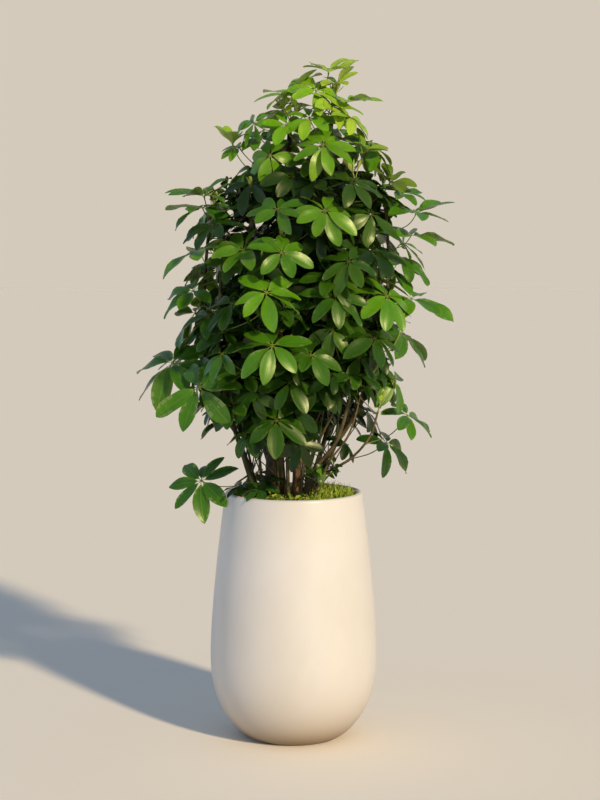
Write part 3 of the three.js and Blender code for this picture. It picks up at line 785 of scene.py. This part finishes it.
def dress_leaves(plant, materials, outer):
    foliage = Shape()
    for leaf in plant.leaves:
        age = ripen(leaf) if leaf.age is None else leaf.age
        # Painted shade: deeper the further inside the canopy a leaf lies, or as chosen for the leaf, and
        # none near the top
        deep = clamp((SHADE_STARTS - canopy_share(outer, leaf.hub)) / SHADE_DEEPENS)
        leaf.depth = max(deep, leaf.shade) * clamp((SHADE_TOP - leaf.hub.z) / SHADE_FADES)
        leaf.bend = BEND
        leaf.slim = 1.0 if leaf.count < 8 else 0.93
        leaf.fold = FOLD
        add_leaf(foliage, leaf, age)
        add_stalk(foliage, leaf, age)
    for shoot in plant.shoots:
        add_bud(foliage, shoot)
    make_piece("foliage_" + plant.number, foliage, materials, "foliage", plant.node)


def canopy_share(outer, at):
    """How far out a place lies between the canopy's middle, 0, and the solids' leaves there, 1."""
    near = [hub.xy for hub in outer if abs(hub.z - at.z) < REACH_BAND]
    if not near:
        return 1.0
    middle = Vector([(min(hub[k] for hub in near) + max(hub[k] for hub in near)) / 2 for k in (0, 1)])
    side = at.xy - middle
    if side.length < MM:
        return 0.0
    arms = [hub - middle for hub in near]
    reaches = [arm.length for arm in arms if arm.normalized().dot(side.normalized()) > REACH_SIDE]
    return side.length / max(reaches, default=side.length)


def inner_leaves(shoots, outer, hubs):
    """Leaves in the shade between the solids' leaves, on stalks that turn round each shoot."""
    leaves = []
    for shoot in shoots:
        turn = chance.random() * 2 * math.pi
        for root in shoot.line[::INNER_EVERY]:
            turn += GOLDEN_TURN
            for _ in range(INNER_TRIES):
                turn += chance.gauss(0, 0.4)
                out = Vector((math.cos(turn), math.sin(turn), 0))
                rise = chance.uniform(*(LONG_RISES if root.z < LONG_STALKS_BELOW else SHORT_RISES))
                hub = root + out * chance.uniform(*INNER_REACHES) + UP * rise
                if inner_place_is_free(hub, outer, hubs):
                    leaves.append(inner_leaf(hub, root))
                    hubs.append(hub)
                    break
    return leaves


def inner_place_is_free(hub, outer, hubs):
    lowest = INNER_LOWEST_FRONT if hub.y < 0 and hub.x > 0.02 else INNER_LOWEST
    if hub.z < lowest or canopy_share(outer, hub) > INNER_SHARE:
        return False
    return min((hub - other).length for other in hubs) > INNER_APART


def inner_leaf(hub, root):
    out = Vector((hub.x, hub.y, 0)).normalized()
    lean = Vector((chance.gauss(0, 0.3), chance.gauss(0, 0.3), chance.uniform(0.5, 1.4)))
    leaf = make_leaf(hub, (out + lean).normalized())
    leaf.length = chance.uniform(*INNER_LENGTHS) * MM
    leaf.lift = chance.gauss(0, LIFT)
    leaf.spin = chance.random() * 6
    leaf.count = chance.choice((6, 7, 8))
    leaf.stalk = curved_stalk(leaf, root, 0.55, 0.42, 0.45)
    return leaf


def lone_leaf(hub, azimuth, elevation, length, count, lift, age, shoots):
    """A leaf at a given place, with its stalk from the nearest shoot a little lower."""
    hub = Vector(hub) * MM
    leaf = make_leaf(hub, toward(azimuth, elevation))
    leaf.length, leaf.count, leaf.lift, leaf.age = length * MM, count, lift, age
    leaf.spin = chance.random() * 6
    _, root, _ = nearest_on(shoots, hub - UP * ROOT_BELOW_HUB)
    leaf.stalk = curved_stalk(leaf, root, 0.5, 0.4, 0.5)
    return leaf


def curved_stalk(leaf, root, along, behind, pull):
    """Root, middle and end of a stalk: its middle is pulled from the straight way to behind the leaf."""
    straight = root.lerp(leaf.hub, along)
    back = leaf.hub - leaf.face * behind * (leaf.hub - root).length
    return [root, straight.lerp(back, pull), leaf.hub - leaf.face * HUB_DROP]


def add_bud(shape, shoot):
    """Soft new growth at a shoot's tip: small folded leaves that have yet to open."""
    tip = shoot.line[-1]
    along = (shoot.line[-1] - shoot.line[-4]).normalized()
    for i in range(2):
        lean = Vector((chance.gauss(0, 0.35), chance.gauss(0, 0.35), 0.4))
        face = (along + lean).normalized()
        leaf = make_leaf(tip + face * (16 + 14 * i) * MM, face)
        leaf.length = chance.uniform(*BUD_LENGTHS) * MM
        leaf.spin = chance.random() * 6
        vars(leaf).update(BUD)
        leaf.stalk = [tip - along * 2 * MM, leaf.hub - face * 4 * MM]
        add_leaf(shape, leaf, BUD_AGE)
        add_stalk(shape, leaf, BUD_AGE)


# Planter

def pot_radius(z):
    """The planter's outer radius at a height: a slow taper above the belly and a round foot below."""
    if z >= BELLY_HEIGHT:
        rise = (z - BELLY_HEIGHT) / (POT_HEIGHT - BELLY_HEIGHT)
        return BELLY_RADIUS - (BELLY_RADIUS - RIM_RADIUS) * rise ** SIDE_CURVE
    drop = (BELLY_HEIGHT - z) / BELLY_HEIGHT
    return FOOT_RADIUS + (BELLY_RADIUS - FOOT_RADIUS) * (1 - drop ** FOOT_CURVE) ** FOOT_BULGE


def planter_profile():
    """(radius, height) of the planter from the middle of its underside, round the lip, to the floor."""
    lip = WALL / 2
    low = [BELLY_HEIGHT * (1 - math.cos(math.pi / 2 * i / FOOT_ROWS)) for i in range(FOOT_ROWS)]
    high = np.linspace(BELLY_HEIGHT, POT_HEIGHT - lip, SIDE_ROWS)
    outside = [(pot_radius(z), z) for z in [*low, *high]]
    centre = pot_radius(POT_HEIGHT - lip) - lip
    turns = [math.pi * i / LIP_ROWS for i in range(1, LIP_ROWS)]
    rim = [(centre + lip * math.cos(t), POT_HEIGHT - lip + lip * math.sin(t)) for t in turns]
    inside = [(pot_radius(z) - WALL, z) for z in np.linspace(POT_HEIGHT - lip, FLOOR, INSIDE_ROWS)]
    return [*outside, *rim, *inside]


def planter_shape():
    profile = planter_profile()
    turns = 2 * np.pi * np.arange(POT_SIDES) / POT_SIDES
    points = [[r * math.cos(t), r * math.sin(t), z] for r, z in profile for t in turns]
    shape = Shape()
    shape.add(points, tube_faces(len(profile), POT_SIDES))
    return shape


def cut_drain_holes(pot):
    for i in range(DRAIN_HOLES):
        turn = 2 * math.pi * (i + 0.25) / DRAIN_HOLES
        x, y = DRAIN_CIRCLE * math.cos(turn), DRAIN_CIRCLE * math.sin(turn)
        plug = Shape()
        ends = [Vector((x, y, -FLOOR)), Vector((x, y, 2 * FLOOR))]
        add_tube(plug, ends, [DRAIN_RADIUS] * 2, 32, 0)
        mesh = bpy.data.meshes.new("drain")
        mesh.from_pydata(plug.points[0].tolist(), [], plug.faces)
        cutter = put("drain", mesh)
        cut = pot.modifiers.new("drain", "BOOLEAN")
        cut.object, cut.operation, cut.solver = cutter, "DIFFERENCE", "EXACT"
        bpy.context.view_layer.objects.active = pot
        bpy.ops.object.modifier_apply(modifier=cut.name)
        bpy.data.objects.remove(cutter)


# Moss and creeping plants on the soil

def cover_height(x, y):
    """Height of the moss above its underside, with x and y in millimetres."""
    tuft = math.sin(x / 17 + 1) * math.cos(y / 15 - 0.5) + 0.6 * math.sin((x + y) / 9)
    return COVER_THICK + COVER_TUFT * max(0, tuft) + 2 * MM * math.cos(x / 31 + y / 27)


def moss_mat():
    """The mat: rings of uneven points on top, a low edge, and a flat underside."""
    sides = COVER_SIDES
    points = [[0, 0, COVER_BOTTOM + cover_height(0, 0)]]
    for i in range(1, COVER_RINGS + 1):
        radius = COVER_RADIUS * i / COVER_RINGS
        for j in range(sides):
            turn = 2 * math.pi * j / sides
            x, y = radius * math.cos(turn), radius * math.sin(turn)
            rough = noise.fractal(Vector((x, y, 0)) * 90, 0.8, 2.1, 4) * COVER_ROUGH
            edge = 0.4 if i == COVER_RINGS else 1.0
            points.append([x, y, COVER_BOTTOM + edge * (cover_height(x / MM, y / MM) + rough)])
    faces = [[0, 1 + j, 1 + (j + 1) % sides] for j in range(sides)]
    for i in range(COVER_RINGS - 1):
        for j in range(sides):
            a, b = 1 + i * sides + j, 1 + i * sides + (j + 1) % sides
            faces.append([a, a + sides, b + sides, b])
    under = len(points)
    rim = range(under - sides, under)
    points += [[*points[index][:2], COVER_BOTTOM] for index in rim]
    for j in range(sides):
        k = (j + 1) % sides
        faces.append([rim[j], under + j, under + k, rim[k]])
    faces.append([under + j for j in range(sides)][::-1])
    shape = Shape()
    shape.add(points, faces)
    return shape


def free_spot(margin):
    """A random place on the cover, clear of the stems' feet."""
    while True:
        turn = chance.random() * 2 * math.pi
        radius = COVER_RADIUS * math.sqrt(chance.random()) * 0.985
        x, y = radius * math.cos(turn), radius * math.sin(turn)
        clear = all(
            math.hypot(x - foot[0] * MM, y - foot[1] * MM) > thick * MM * 1.2 + margin
            for foot, thick, _, _ in STEMS
        )
        if clear:
            return Vector((x, y, COVER_BOTTOM + cover_height(x / MM, y / MM)))


def add_moss_tufts(shape):
    """Short pointed moss shoots, leaning every way, taller on the right."""
    for _ in range(MOSS_TUFTS):
        at = free_spot(0)
        height = chance.uniform(*TUFT_HEIGHTS) * MM
        if at.x > TALL_TUFTS_FROM:
            height *= chance.uniform(*TALLER)
        lean = Vector((chance.gauss(0, 0.5), chance.gauss(0, 0.5), 1)).normalized()
        low = at - UP * 2 * MM
        line = [low, low + lean * height * 0.6, low + lean * height]
        add_tube(shape, line, [0.9 * MM, 0.8 * MM, 0.15 * MM], 3, 0, chance.random())


def add_creeper(shape):
    """Small round leaves on thread-like stalks."""
    for _ in range(CREEPER_LEAVES):
        at = free_spot(2 * MM)
        rise = chance.uniform(*CREEPER_RISES) * MM
        size = chance.uniform(*CREEPER_SIZES) * MM
        face = Vector((chance.gauss(0, 0.45), chance.gauss(-0.1, 0.45), 1)).normalized()
        hub = at + Vector((chance.gauss(0, 3) * MM, chance.gauss(0, 3) * MM, rise))
        add_round_leaf(shape, hub, face, size)
        add_tube(shape, [at - UP * 3 * MM, hub], [0.4 * MM, 0.3 * MM], 3, 0, 0.4)


def add_round_leaf(shape, hub, face, size):
    """A shallow cup with a notch in its rim."""
    across = face.orthogonal().normalized()
    beside = face.cross(across)
    rim = []
    sides = CREEPER_SIDES
    for j in range(sides):
        turn = 2 * math.pi * j / sides
        reach = size * (1 if j else CREEPER_NOTCH)
        out = across * math.cos(turn) + beside * math.sin(turn)
        rim.append(hub + out * reach + face * size * CREEPER_CUP)
    points = [hub, hub - face * 0.5 * MM, *rim]
    faces = [[0, 2 + j, 2 + (j + 1) % sides] for j in range(sides)]
    faces += [[1, 2 + (j + 1) % sides, 2 + j] for j in range(sides)]
    shape.add(points, faces, 0, None, chance.random())


# Materials

def add_node(tree, kind, inputs=(), **settings):
    """A shader node: settings are its own properties, inputs are values or sockets by name."""
    made = tree.nodes.new("ShaderNode" + kind)
    for key, value in settings.items():
        setattr(made, key, value)
    for key, value in dict(inputs).items():
        if isinstance(value, bpy.types.NodeSocket):
            tree.links.new(value, made.inputs[key])
        else:
            made.inputs[key].default_value = value
    return made


def mix(tree, factor, first, second):
    made = add_node(tree, "Mix", {0: factor, 6: first, 7: second}, data_type="RGBA")
    return made.outputs[2]


def maths(tree, operation, first, second=0.0):
    return add_node(tree, "Math", {0: first, 1: second}, operation=operation).outputs[0]


def times(tree, first, second):
    return maths(tree, "MULTIPLY", first, second)


def ramp(tree, value, stops):
    """A colour ramp: stops are (place, colour) pairs."""
    made = add_node(tree, "ValToRGB", {"Fac": value})
    elements = made.color_ramp.elements
    while len(elements) < len(stops):
        elements.new(0.5)
    for element, (place, colour) in zip(elements, stops):
        element.position = place
        element.color = (*colour, 1)
    return made.outputs["Color"]


def noise_value(tree, scale, detail=3.0, stretch=(1, 1, 1)):
    place = add_node(tree, "TexCoord").outputs["Object"]
    place = add_node(tree, "Mapping", {"Vector": place, "Scale": stretch}).outputs["Vector"]
    return add_node(tree, "TexNoise", {"Vector": place, "Scale": scale, "Detail": detail}).outputs["Fac"]


def smooth_step(tree, value, low, high):
    """0 at low, 1 at high, with soft ends."""
    ends = {"Value": value, "From Min": low, "From Max": high}
    return add_node(tree, "MapRange", ends, interpolation_type="SMOOTHSTEP").outputs["Result"]


def spread(tree, value, low, high):
    """A value from 0 to 1, brought to between low and high."""
    return add_node(tree, "MapRange", {"Value": value, "To Min": low, "To Max": high}).outputs["Result"]


def new_material(name, **inputs):
    """A material, its nodes and its shader, whose inputs are named in small letters."""
    material = bpy.data.materials.new(name)
    material.use_nodes = True
    shader = material.node_tree.nodes["Principled BSDF"]
    for key, value in inputs.items():
        shader.inputs[key.replace("_", " ").title().replace("Ior", "IOR")].default_value = value
    return material, material.node_tree, shader


def connect(tree, shader, colour, roughness, height, strength, distance):
    """Colour, roughness unless it is a constant, and a bump from a height."""
    tree.links.new(colour, shader.inputs["Base Color"])
    if roughness is not None:
        tree.links.new(roughness, shader.inputs["Roughness"])
    bump = add_node(tree, "Bump", {"Height": height, "Strength": strength, "Distance": distance})
    tree.links.new(bump.outputs["Normal"], shader.inputs["Normal"])


def attribute(tree, name):
    return add_node(tree, "Attribute", attribute_name=name).outputs["Fac"]


def parts_of(tree, vector):
    """A vector's X, Y and Z."""
    return add_node(tree, "SeparateXYZ", {"Vector": vector}).outputs


def in_the_shade(tree, colour, most):
    """Painted shade: the colour again, darker by up to this share deep in the canopy."""
    return mix(tree, times(tree, attribute(tree, "depth"), most), colour, DEEP_SHADE)


def leaf_material(name, stops):
    """Leaf skin: lime when new to deep green when old, with a pale rib and faint side veins, and painted
    shade deep in the canopy.
    """
    material, tree, shader = new_material(
        name, roughness=0.34, specular_ior_level=0.46, specular_tint=(0.95, 1.0, 0.65, 1),
        subsurface_weight=0.2, subsurface_scale=0.003, subsurface_radius=(1.0, 1.3, 0.25),
    )
    mottle = noise_value(tree, 60.0)
    uneven = times(tree, maths(tree, "SUBTRACT", mottle, 0.5), 0.22)
    colour = ramp(tree, maths(tree, "ADD", attribute(tree, "age"), uneven), stops)
    lines, drawn = leaflet_lines(tree)
    # Painted shade deep in the canopy
    colour = in_the_shade(tree, mix(tree, drawn, colour, PALE), 0.96)
    rough = spread(tree, mottle, 0.26, 0.44)
    height = maths(tree, "SUBTRACT", times(tree, mottle, 0.5), lines)
    connect(tree, shader, colour, rough, height, 0.35, 0.0006)
    return material


def leaflet_lines(tree):
    """How strongly rib and veins are drawn on a leaflet, and those together with its rim and base."""
    across, along, _ = parts_of(tree, add_node(tree, "UVMap", uv_map="leaflet").outputs["UV"])
    aside = maths(tree, "ABSOLUTE", times(tree, maths(tree, "SUBTRACT", across, 0.5), 2.0))
    rib = times(tree, smooth_step(tree, aside, *RIB_FADE), RIB_PALE)
    slant = maths(tree, "SUBTRACT", times(tree, along, VEINS), times(tree, aside, VEIN_SLANT))
    ripple = maths(tree, "ABSOLUTE", maths(tree, "SINE", times(tree, slant, math.pi)))
    vein = times(tree, smooth_step(tree, ripple, *VEIN_FADE), VEIN_PALE)
    edge = times(tree, smooth_step(tree, aside, *EDGE_FADE), EDGE_PALE)
    base = smooth_step(tree, along, *BASE_FADE)
    lines = maths(tree, "MAXIMUM", rib, vein)
    return lines, maths(tree, "MAXIMUM", maths(tree, "MAXIMUM", lines, base), edge)


def stalk_material():
    """Stalks: yellow-green when young, olive when old, with reddish patches."""
    material, tree, shader = new_material("stalk", roughness=0.42)
    mottle = noise_value(tree, 120.0)
    young, old, patch = (0.36, 0.42, 0.07, 1), (0.16, 0.22, 0.035, 1), (0.24, 0.15, 0.06, 1)
    colour = mix(tree, attribute(tree, "age"), young, old)
    colour = mix(tree, times(tree, mottle, 0.35), colour, patch)
    # Painted shade deep in the canopy
    colour = in_the_shade(tree, colour, 0.85)
    connect(tree, shader, colour, None, mottle, 0.2, 0.0004)
    return material


def bark_material():
    """Bark: brown and cracked low on the trunks, olive and smooth where the wood is young."""
    material, tree, shader = new_material("bark", roughness=0.78)
    cracks = noise_value(tree, 70.0, 6.0, (1, 1, 0.22))
    flecks = noise_value(tree, 260.0, 2.0)
    brown = ramp(tree, cracks, [
        (0.3, (0.04, 0.022, 0.01)), (0.52, (0.18, 0.095, 0.036)), (0.72, (0.40, 0.22, 0.08)),
    ])
    olive = ramp(tree, cracks, [(0.3, (0.022, 0.022, 0.007)), (0.7, (0.085, 0.08, 0.022))])
    colour = mix(tree, attribute(tree, "age"), brown, olive)
    colour = mix(tree, smooth_step(tree, flecks, 0.62, 0.7), colour, (0.22, 0.17, 0.09, 1))
    # Painted shade inside the crown and on the left
    colour = in_the_shade(tree, colour, 0.85)
    height = maths(tree, "ADD", cracks, times(tree, flecks, 0.3))
    connect(tree, shader, colour, None, height, 0.9, 0.002)
    return material


def planter_material():
    """Cream satin fibre-cement: faint clouding, fine pores, and a foot darkened by dust with a painted
    reflection of a brown ground, and by dirt with painted shade.
    """
    material, tree, shader = new_material("planter", roughness=0.42, specular_ior_level=0.58)
    clouds = noise_value(tree, 7.0, 5.0, (1, 1, 0.6))
    grain = noise_value(tree, 420.0, 2.0)
    colour = ramp(tree, clouds, [(0.3, (0.655, 0.63, 0.60)), (0.7, (0.71, 0.69, 0.685))])
    cloudy = maths(tree, "ADD", times(tree, clouds, 0.3), 0.75)
    # Low down, dust with a painted reflection of a brown ground, then dirt with painted shade at the very
    # foot
    colour = mix(tree, times(tree, low_down(tree, DUST_AND_REFLECTION_HEIGHT), cloudy), colour, DUST_AND_GROUND_REFLECTION)
    colour = mix(tree, times(tree, low_down(tree, DIRT_AND_SHADE_HEIGHT), 0.8), colour, DIRT_AND_FOOT_SHADE)
    rough = spread(tree, clouds, 0.30, 0.44)
    height = maths(tree, "ADD", clouds, times(tree, grain, 0.12))
    connect(tree, shader, colour, rough, height, 0.12, 0.0015)
    return material


def low_down(tree, fade):
    """1 at the planter's foot, thinning out upwards over this height."""
    _, _, height = parts_of(tree, add_node(tree, "TexCoord").outputs["Object"])
    return maths(tree, "POWER", math.e, maths(tree, "DIVIDE", height, -fade))


def moss_material():
    """Moss: bare soil between dark and bright green patches."""
    material, tree, shader = new_material("moss", roughness=0.85)
    patches = times(tree, noise_value(tree, 38.0, 4.0), 0.75)
    mixed = maths(tree, "ADD", patches, times(tree, attribute(tree, "age"), 0.25))
    colour = ramp(tree, mixed, [
        (0.28, (0.018, 0.018, 0.006)), (0.40, (0.10, 0.15, 0.012)), (0.52, (0.31, 0.42, 0.028)),
        (0.70, (0.50, 0.62, 0.07)),
    ])
    connect(tree, shader, colour, None, noise_value(tree, 420.0), 0.8, 0.002)
    return material


def creeper_material():
    """Creeping leaves: mostly green, a few of them yellowed."""
    material, tree, shader = new_material("creeper", roughness=0.5)
    colour = ramp(tree, attribute(tree, "age"), [
        (0.0, (0.06, 0.17, 0.015)), (0.45, (0.20, 0.33, 0.02)), (0.8, (0.42, 0.48, 0.04)),
        (0.97, (0.62, 0.45, 0.12)),
    ])
    connect(tree, shader, colour, None, noise_value(tree, 300.0), 0.3, 0.0005)
    return material


def soil_material():
    material, tree, shader = new_material("soil", roughness=0.95)
    crumbs = noise_value(tree, 160.0, 6.0)
    colour = ramp(tree, crumbs, [(0.3, (0.012, 0.008, 0.005)), (0.7, (0.075, 0.048, 0.028))])
    connect(tree, shader, colour, None, crumbs, 1.0, 0.004)
    return material


# Room: floor, light and camera

def add_floor():
    reach = FLOOR_REACH
    mesh = bpy.data.meshes.new("floor")
    corners = [(-reach, -reach, 0), (reach, -reach, 0), (reach, reach, 0), (-reach, reach, 0)]
    mesh.from_pydata(corners, [], [(0, 1, 2, 3)])
    mesh.materials.append(new_material("floor", roughness=0.8, base_color=FLOOR_COLOUR)[0])
    floor = put("floor", mesh)


def add_world():
    """A pale band round the horizon, cooler to the left, and a dimmer, bluer dome above it."""
    world = bpy.data.worlds.new("studio")
    world.use_nodes = True
    tree = world.node_tree
    right, _, up = parts_of(tree, add_node(tree, "TexCoord").outputs["Generated"])
    band = ramp(tree, smooth_step(tree, right, *COOL_FROM), [(0.0, BAND), (1.0, COOL_BAND)])
    colour = mix(tree, smooth_step(tree, up, *DOME_FROM), band, (*DOME, 1))
    tree.links.new(colour, tree.nodes["Background"].inputs["Color"])
    bpy.context.scene.world = world


def add_sun():
    light = bpy.data.lights.new("sun", "SUN")
    light.energy = SUN_POWER
    light.color = SUN_COLOUR
    light.angle = math.radians(SUN_SOFTNESS)
    lamp = put("sun", light)
    lamp.rotation_mode = "QUATERNION"
    lamp.rotation_quaternion = toward(SUN_AZIMUTH, SUN_HEIGHT).to_track_quat("Z", "Y")


def add_camera():
    camera = bpy.data.cameras.new("camera")
    camera.sensor_width = SENSOR
    camera.lens = FOCAL_PIXELS * SENSOR / PICTURE_HEIGHT
    camera.clip_end = 200
    eye = put("camera", camera)
    eye.location = EYE
    eye.rotation_euler = (math.radians(90 - EYE_TILT), 0, 0)
    bpy.context.scene.camera = eye


# The plant, stem by stem

def find_plants(shoots):
    """Each stem's node with its shoots and with the leaves that are read back from its solid."""
    plants = []
    for index in range(len(STEMS)):
        number = f"{index + 1:02d}"
        node = "leafy_stem_" + number
        own = [shoot for shoot in shoots if shoot.node == index]
        leaves = find_leaves(node, own)
        plants.append(SimpleNamespace(number=number, node=node, shoots=own, leaves=leaves))
    return plants


def add_lone_leaves(plants, shoots):
    """Each lone leaf goes to the plant whose shoot its stalk starts from."""
    for row in LONE_LEAVES:
        leaf = lone_leaf(*row, shoots)
        if row is LONE_LEAVES[-1]:
            leaf.stalk = in_metres(YOUNG_SHOOT)
        nearest = min(shoots, key=lambda one: min((at - leaf.stalk[0]).length for at in one.line))
        plants[nearest.node].leaves.append(leaf)


def add_plants():
    shoots, canes = stem_lines(), cane_lines()
    skins = [leaf_material("leaf_top", LEAF_TOP), leaf_material("leaf_under", LEAF_UNDER), stalk_material()]
    bark = bark_material()
    plants = find_plants(shoots)
    outer_hubs = [leaf.hub for plant in plants for leaf in plant.leaves]
    hubs = list(outer_hubs)
    add_lone_leaves(plants, shoots + canes)
    for index, plant in enumerate(plants):
        plant.shoots += [cane for cane in canes if cane.node == index]
        plant.leaves += inner_leaves(plant.shoots, outer_hubs, hubs)
        dress_leaves(plant, skins, outer_hubs)
        stem = Shape()
        for shoot in plant.shoots:
            add_stem(stem, shoot)
        make_piece("stem_" + plant.number, stem, [bark], "bark", plant.node)


add_plants()

pot = make_piece("planter", planter_shape(), [planter_material()], "planter", "planter_pot")
cut_drain_holes(pot)

moss = moss_mat()
add_moss_tufts(moss)
make_piece("moss", moss, [moss_material()], "moss", "ground_cover")
creeper = Shape()
add_creeper(creeper)
make_piece("creeper", creeper, [creeper_material()], "moss", "ground_cover")

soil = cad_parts["potting_soil"]
soil.data.materials.clear()
soil.data.materials.append(soil_material())

add_floor()
add_world()
add_sun()
add_camera()
bpy.context.scene.view_settings.view_transform = "Standard"
